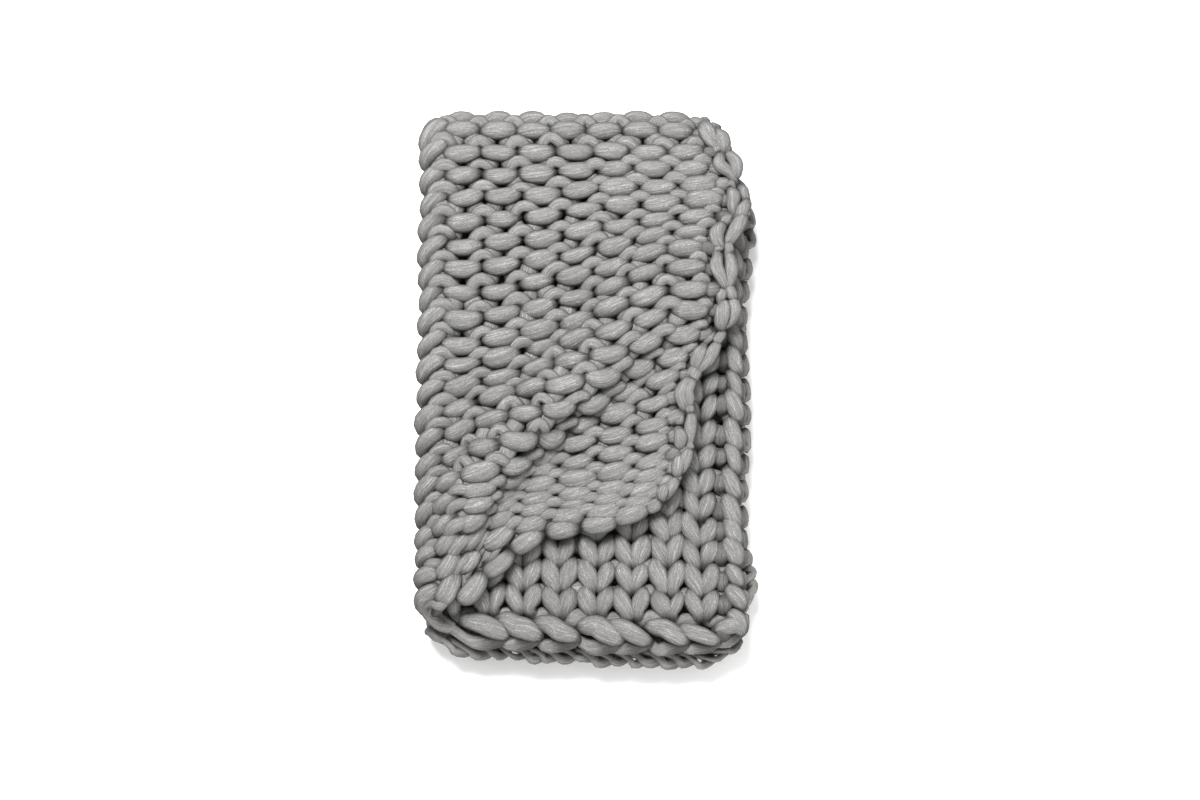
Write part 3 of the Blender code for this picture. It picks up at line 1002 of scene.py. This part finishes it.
# Materials
def fibre_group():
    """Fine fibres that run along the yarn with a slight twist: tone and height."""
    group = bpy.data.node_groups.new("roving_fibres", "ShaderNodeTree")
    sizes = (("Twist", "Float", TWIST), ("Fineness", "Float", 1.0))
    masks = (("Tone", "Float"), ("Height", "Float"))
    add_sockets(group, (("Yarn space", "Vector", None), *sizes), masks)
    start = made(group, "NodeGroupInput")
    space = start.outputs["Yarn space"]
    split = made(group, "ShaderNodeSeparateXYZ", {"Vector": space})
    angle = product(group, split.outputs["X"], start.outputs["Twist"])
    twisted = {"Vector": space, "Angle": angle}
    turn = made(group, "ShaderNodeVectorRotate", twisted, rotation_type="X_AXIS")
    scaled = {0: turn.outputs["Vector"], "Scale": start.outputs["Fineness"]}
    fine = made(group, "ShaderNodeVectorMath", scaled, operation="SCALE")

    def strands(along, across, detail, rough):
        """Noise stretched along the yarn."""
        scaled = {0: fine.outputs["Vector"], 1: (along, across, across)}
        stretch = made(group, "ShaderNodeVectorMath", scaled, operation="MULTIPLY")
        noise = made(group, "ShaderNodeTexNoise", {
            "Vector": stretch.outputs["Vector"],
            "Scale": 1.0,
            "Detail": detail,
            "Roughness": rough,
        })
        return noise.outputs["Fac"]

    def blend(first, second, share):
        """Mix of two values."""
        mix = made(group, "ShaderNodeMix", {0: share, 2: first, 3: second}, data_type="FLOAT")
        return mix.outputs[0]

    broad, middle, hair, speck = (strands(*kind) for kind in FIBRES)
    mixed = {}
    for name, (coarse, fuzz, both) in (("Tone", TONE_SHARES), ("Height", HEIGHT_SHARES)):
        mixed[name] = blend(blend(broad, middle, coarse), blend(hair, speck, fuzz), both)
    made(group, "NodeGroupOutput", mixed)
    return group


def opaque(colour):
    """Colour with full alpha."""
    return tuple(colour) + (1.0,)


def wool_material(colours):
    """Matt wool: fibres in tone and bump, painted shade where yarn dives or turns from view,
    painted floor light.
    """
    wool = bpy.data.materials.new("grey_wool_roving")
    wool.use_nodes = True
    tree = wool.node_tree
    yarn = made(tree, "ShaderNodeAttribute", attribute_name="yarn_space")
    space = {"Yarn space": yarn.outputs["Vector"]}
    fibres = made(tree, "ShaderNodeGroup", space, node_tree=fibre_group())
    ramp = made(tree, "ShaderNodeValToRGB", {"Fac": fibres.outputs["Tone"]})
    tones = ramp.color_ramp.elements
    tones[0].position = DARK_TONE
    tones[1].position = LIGHT_TONE
    tones[0].color = opaque(colours.dark_wool)
    tones[1].color = opaque(colours.light_wool)
    tones.new(MIDDLE_TONE).color = opaque(colours.mid_wool)
    place = made(tree, "ShaderNodeTexCoord")
    height = made(tree, "ShaderNodeSeparateXYZ", {"Vector": place.outputs["Object"]})

    def share(value, span, first=0.0, last=1.0):
        """Goes from first to last as a value goes over a span."""
        part = made(tree, "ShaderNodeMapRange", {
            "Value": value,
            "From Min": span[0],
            "From Max": span[1],
            "To Min": first,
            "To Max": last,
        })
        return part.outputs["Result"]

    def tinted(colour, factor, tint):
        """Colour multiplied by a tint, as far as a factor says: the wool's painted light and
        painted shade.
        """
        mixed = {0: factor, 6: colour, 7: opaque(tint)}
        mix = made(tree, "ShaderNodeMix", mixed, data_type="RGBA", blend_type="MULTIPLY")
        return mix.outputs[2]

    # Painted light: low yarn is lightened as if the pale floor lit it
    low = share(height.outputs["Z"], LIGHT_HEIGHTS, last=MOST_LIGHT)
    colour = tinted(ramp.outputs["Color"], low, colours.painted_floor_light)

    # Low yarn takes less painted shade, as if the pale floor lit it
    shaded = share(height.outputs["Z"], SHADE_HEIGHTS, first=1.0, last=LEAST_SHADE)
    # Painted shade where yarn dives under other yarn
    dive = made(tree, "ShaderNodeAttribute", attribute_name="strand_dive")
    colour = tinted(colour, product(tree, dive.outputs["Fac"], shaded), colours.painted_dive_shade)
    # Painted shade at the yarn's sides, darker the more they turn away from the view
    slope = made(tree, "ShaderNodeLayerWeight", {"Blend": 0.5})
    steep = share(slope.outputs["Facing"], RIM_TURN)
    colour = tinted(colour, product(tree, steep, shaded), colours.painted_rim_shade)
    bump = made(tree, "ShaderNodeBump", {
        "Strength": 1.0,
        "Distance": BUMP_HEIGHT,
        "Height": fibres.outputs["Height"],
    })
    fill(tree, tree.nodes["Principled BSDF"], {
        "Base Color": colour,
        "Normal": bump.outputs["Normal"],
        "Roughness": 0.92,
        "Specular IOR Level": 0.1,
        "Sheen Weight": 0.10,
        "Sheen Roughness": 0.6,
    })
    return wool


def floor_material(colours):
    """Plain matt floor."""
    plain = bpy.data.materials.new("plain_floor")
    plain.use_nodes = True
    fill(plain.node_tree, plain.node_tree.nodes["Principled BSDF"], {
        "Base Color": opaque(colours.floor),
        "Roughness": 0.9,
        "Specular IOR Level": 0.1,
    })
    return plain


# Settings
def share_setting(name, about):
    """Setting for a share of the usual size."""
    return bpy.props.FloatProperty(name=name, description=about, default=1.0)


def colour_setting(name, about, value, most=1.0):
    """Setting for a colour."""
    return bpy.props.FloatVectorProperty(
        name=name, description=about, default=value, max=most, subtype="COLOR"
    )


class KnitSettings(bpy.types.PropertyGroup):
    """Sizes of the knit"""

    yarn_scale: share_setting("Yarn scale", "Thickness of the roving")
    loop_width: share_setting("Loop width", "How far a loop leans over its neck")
    loop_height: share_setting("Loop height", "How tall a loop stands")
    loop_depth: share_setting("Loop depth", "How far a loop swings through the cloth")
    step: bpy.props.FloatProperty(
        name="Step", description="Length of yarn between two rings", default=0.0052, unit="LENGTH"
    )
    sides: bpy.props.IntProperty(name="Sides", description="Sides of the yarn", default=SIDES)


class ColourSettings(bpy.types.PropertyGroup):
    """Colours of the wool and the floor, and tints of painted shade and painted floor light"""

    dark_wool: colour_setting("Dark wool", "Darker fibres", (0.122, 0.121, 0.119))
    mid_wool: colour_setting("Middle wool", "Most of the fibres", (0.215, 0.213, 0.209))
    light_wool: colour_setting("Light wool", "Lighter fibres", (0.46, 0.456, 0.45))
    # Tints of painted shade where yarn dives and at its sides, and of painted light from the
    # floor
    painted_dive_shade: colour_setting("Painted dive shade", "Shade where yarn dives", (0.20, 0.19, 0.18))
    painted_rim_shade: colour_setting("Painted rim shade", "Shade at the yarn's sides", (0.27, 0.26, 0.25))
    painted_floor_light: colour_setting("Painted floor light", "Light from the floor", (1.20, 1.17, 1.13), 2.0)
    floor: colour_setting("Floor", "Plain floor", (0.87, 0.87, 0.87))


def knitting_kit(scene):
    """The folded cloth and the sweep of wool that every knitting operator works with."""
    tree = bpy.data.node_groups.get("swept_yarn")
    if tree is None:
        tree = sweep_tree(wool_material(scene.blanket_colours))
    return FoldedCloth(), tree


class KnitStep:
    """What every knitting operator does: knits a piece from each of its strands."""

    def execute(self, context):
        settings = context.scene.knit_settings
        cloth, tree = knitting_kit(context.scene)
        rng = np.random.default_rng(self.seed)
        for name, strand in self.strands(settings, rng):
            knit_piece(name, strand, cloth, settings, tree)
        return {"FINISHED"}


class BLANKET_OT_knit_rows(KnitStep, bpy.types.Operator):
    """Knits the rows to and fro in groups and lays them on the folded cloth"""

    bl_idname = "blanket.knit_rows"
    bl_label = "Knit the rows"
    seed = SEED

    def strands(self, settings, rng):
        """One strand for each group of rows."""
        per_group = math.ceil(ROW_COUNT / ROW_GROUPS)
        for group in range(ROW_GROUPS):
            last = min((group + 1) * per_group, ROW_COUNT)
            strand = rows_strand(group * per_group, last, settings, rng)
            yield f"knit_rows_{group + 1}", strand


class BLANKET_OT_knit_last_row(KnitStep, bpy.types.Operator):
    """Knits the short row along the near edge of the top layer"""

    bl_idname = "blanket.knit_last_row"
    bl_label = "Knit the last row"
    seed = SEED + 1

    def strands(self, settings, rng):
        """The part of one more row that the top layer shows."""
        start = int((LAST_ROW_START - FIRST_LOOP) * POINTS_A_STITCH)
        yield "last_row", resample(row_path(-1, settings, rng)[start:], settings)


class BLANKET_OT_knit_end_edges(KnitStep, bpy.types.Operator):
    """Knits the chains along the cast-on and the cast-off edge"""

    bl_idname = "blanket.knit_end_edges"
    bl_label = "Knit the end edges"
    seed = SEED + 2

    def strands(self, settings, rng):
        """The chain of the upper layers, then that of the lower ones."""
        yield "cast_off_edge", edge_chain(CAST_OFF, settings, rng)
        yield "cast_on_edge", edge_chain(CAST_ON, settings, rng)


class BLANKET_OT_knit_side_edges(KnitStep, bpy.types.Operator):
    """Knits the chains along both side edges"""

    bl_idname = "blanket.knit_side_edges"
    bl_label = "Knit the side edges"
    seed = SEED + 3

    def strands(self, settings, rng):
        """The chain of the outer layers, then that of the middle ones."""
        yield "side_edge", side_chain(settings, rng)
        yield "inner_side_edge", inner_chain(settings, rng)


# Half a side of the floor, the lights' places, sizes and watts, and the picture's tone curve
FLOOR_REACH = 12.0
KEY_LIGHT = ((-0.50, 1.00, 2.50), 1.5, 112.0)
FILL_LIGHT = ((0.90, -1.60, 0.75), 1.2, 19.0)
LIGHT_AIM = (0.0, 0.0, 0.05)
WORLD_STRENGTH = 0.74
EXPOSURE = 0.24
GAMMA = 0.75

# The photograph's camera: distance, degrees above the floor, sensor, and size of the frame
CAMERA_DISTANCE = 5.0
CAMERA_RISE = 76.7
SENSOR = 36.0
FRAME_SIZE = (1200.0, 800.0)


class BLANKET_OT_stage(bpy.types.Operator):
    """Adds the plain floor, the soft lights and the camera"""

    bl_idname = "blanket.stage"
    bl_label = "Set the stage"

    def execute(self, context):
        scene = context.scene
        mesh = bpy.data.meshes.new("floor")
        turns = ((-1, -1), (1, -1), (1, 1), (-1, 1))
        corners = [(FLOOR_REACH * x, FLOOR_REACH * y, 0.0) for x, y in turns]
        mesh.from_pydata(corners, [], [(0, 1, 2, 3)])
        mesh.materials.append(floor_material(scene.blanket_colours))
        floor = bpy.data.objects.new("floor", mesh)
        scene.collection.objects.link(floor)
        floor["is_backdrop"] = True
        add_light("key_light", *KEY_LIGHT)
        add_light("fill_light", *FILL_LIGHT)
        scene.view_settings.view_transform = "Standard"
        scene.view_settings.exposure = EXPOSURE
        scene.view_settings.gamma = GAMMA
        world = bpy.data.worlds.new("studio")
        world.use_nodes = True
        light = {"Color": (1.0, 1.0, 1.0, 1.0), "Strength": WORLD_STRENGTH}
        fill(world.node_tree, world.node_tree.nodes["Background"], light)
        scene.world = world
        add_camera(scene)
        return {"FINISHED"}


def add_light(name, place, size, power):
    """Round soft light that points at the blanket."""
    data = bpy.data.lights.new(name, "AREA")
    data.shape = "DISK"
    data.size = size
    data.energy = power
    lamp = bpy.data.objects.new(name, data)
    lamp.location = place
    aim = Vector(LIGHT_AIM) - Vector(place)
    lamp.rotation_euler = aim.to_track_quat("-Z", "Y").to_euler()
    bpy.context.scene.collection.objects.link(lamp)


def add_camera(scene):
    """The photograph's view: almost straight down, leaning a little to the near edge."""
    rise = math.radians(CAMERA_RISE)
    wide, high = FRAME_SIZE
    across = (0.5 * wide - PLAN_X) * UNIT - CENTRE_X
    up = (PLAN_Y - 0.5 * high) * UNIT / SQUASH - CENTRE_Y
    target = Vector((across, up, LEAN_Z))
    data = bpy.data.cameras.new("photo_camera")
    data.sensor_width = SENSOR
    data.lens = SENSOR * CAMERA_DISTANCE / (wide * UNIT)
    camera = bpy.data.objects.new("photo_camera", data)
    away = Vector((0.0, -math.cos(rise), math.sin(rise)))
    camera.location = target + away * CAMERA_DISTANCE
    camera.rotation_euler = (-away).to_track_quat("-Z", "Y").to_euler()
    scene.collection.objects.link(camera)
    scene.camera = camera


class BLANKET_PT_panel(bpy.types.Panel):
    """Lists the blanket's settings and operators"""

    bl_idname = "BLANKET_PT_panel"
    bl_label = "Chunky knit blanket"
    bl_space_type = "VIEW_3D"
    bl_region_type = "UI"
    bl_category = "Blanket"

    def draw(self, context):
        layout = self.layout
        for group in (context.scene.knit_settings, context.scene.blanket_colours):
            for name in group.__annotations__:
                layout.prop(group, name)
        for step in STEPS:
            layout.operator(step.bl_idname)


STEPS = (
    BLANKET_OT_knit_rows,
    BLANKET_OT_knit_last_row,
    BLANKET_OT_knit_end_edges,
    BLANKET_OT_knit_side_edges,
    BLANKET_OT_stage,
)
CLASSES = (KnitSettings, ColourSettings, *STEPS, BLANKET_PT_panel)


def register():
    for item in CLASSES:
        bpy.utils.register_class(item)
    bpy.types.Scene.knit_settings = bpy.props.PointerProperty(type=KnitSettings)
    bpy.types.Scene.blanket_colours = bpy.props.PointerProperty(type=ColourSettings)


def unregister():
    del bpy.types.Scene.blanket_colours
    del bpy.types.Scene.knit_settings
    for item in reversed(CLASSES):
        bpy.utils.unregister_class(item)


def write_sizes():
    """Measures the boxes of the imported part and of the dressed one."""
    both = {"cad": CAD_BOX, "visual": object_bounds()}
    boxes = {name: [list(corner) for corner in box] for name, box in both.items()}


def main():
    """Registers the add-on, makes every piece and the stage, and measures the sizes."""
    register()
    bpy.ops.blanket.knit_rows()
    bpy.ops.blanket.knit_last_row()
    bpy.ops.blanket.knit_end_edges()
    bpy.ops.blanket.knit_side_edges()
    bpy.ops.blanket.stage()
    write_sizes()


if __name__ == "__main__":
    main()
